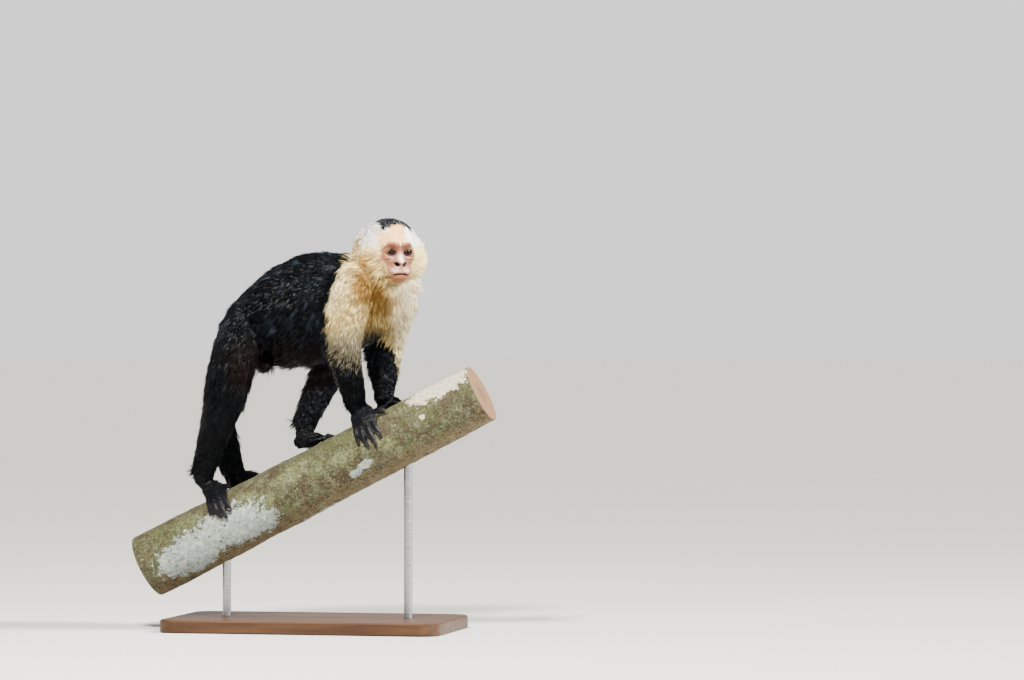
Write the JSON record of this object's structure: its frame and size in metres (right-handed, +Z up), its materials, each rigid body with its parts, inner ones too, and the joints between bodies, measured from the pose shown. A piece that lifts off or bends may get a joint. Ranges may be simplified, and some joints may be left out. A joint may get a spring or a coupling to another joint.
{
  "type": "capuchin monkey model",
  "caption": "Life-size white-faced capuchin monkey walking up a cut length of branch, head turned to its right, held by a flat base with rods.",
  "frame": {"origin": "the middle of the flat underside of the base", "axes": "+X uphill along the branch in plan, the way the animal walks; +Y to the animal's left; +Z up"},
  "size_m": [0.5201, 0.22, 0.5767],
  "materials": {
    "coat_black": "black hair, glossy along the back",
    "coat_cream": "cream to ochre hair, soft",
    "coat_face": "bare pink to tan skin with short pale hair",
    "skin_dark": "dark grey skin, sparsely haired, satin",
    "eye": "wet, clear and dark brown",
    "bark": "grey-brown bark with pale lichen",
    "stand_board": "dark stained, satin",
    "stand_steel": "brushed"
  },
  "bodies": {
    "root": {"stand_base": "stand_board", "stand_rod_rear": "stand_steel", "stand_rod_front": "stand_steel", "perch_branch": "bark", "head": "coat_face", "right_eye": "eye", "left_eye": "eye", "right_ear": "coat_face", "left_ear": "coat_face", "neck": "coat_cream", "chest": "coat_black", "belly": "coat_black", "scrotum": "skin_dark", "tail_base": "coat_black", "tail_middle": "coat_black", "tail_tip": "coat_black", "right_upper_arm": "coat_cream", "right_forearm": "coat_black", "right_hand": "skin_dark", "left_upper_arm": "coat_cream", "left_forearm": "coat_black", "left_hand": "skin_dark", "right_thigh": "coat_black", "right_shank": "coat_black", "right_foot": "skin_dark", "left_thigh": "coat_black", "left_shank": "coat_black", "left_foot": "skin_dark"}
  },
  "joints": []
}
